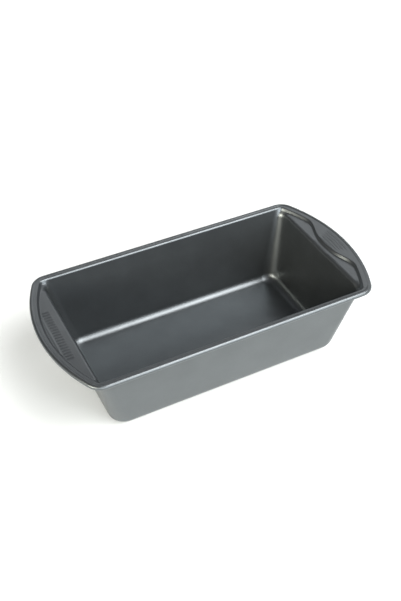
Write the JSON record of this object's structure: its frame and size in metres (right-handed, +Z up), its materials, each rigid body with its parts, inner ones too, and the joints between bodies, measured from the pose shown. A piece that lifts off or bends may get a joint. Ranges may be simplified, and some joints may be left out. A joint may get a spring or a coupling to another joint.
{
  "type": "loaf pan",
  "caption": "Rectangular tapered loaf pan in dark coated sheet steel, with a rolled wire edge and a curved handle with a recessed panel at each end, one with a thumb rest.",
  "frame": {"origin": "middle of the flat underside", "axes": "+X along the pan to the handle with the thumb rest, +Y across the pan, +Z up out of the tub"},
  "size_m": [0.2844, 0.144, 0.0715],
  "materials": {
    "coated_steel": "satin dark grey non-stick coating with a slight metallic sheen",
    "wire_steel": "plain drawn and zinc-coated steel wire"
  },
  "bodies": {
    "root": {"pan_shell": "coated_steel", "rim_wire": "wire_steel"}
  },
  "joints": []
}
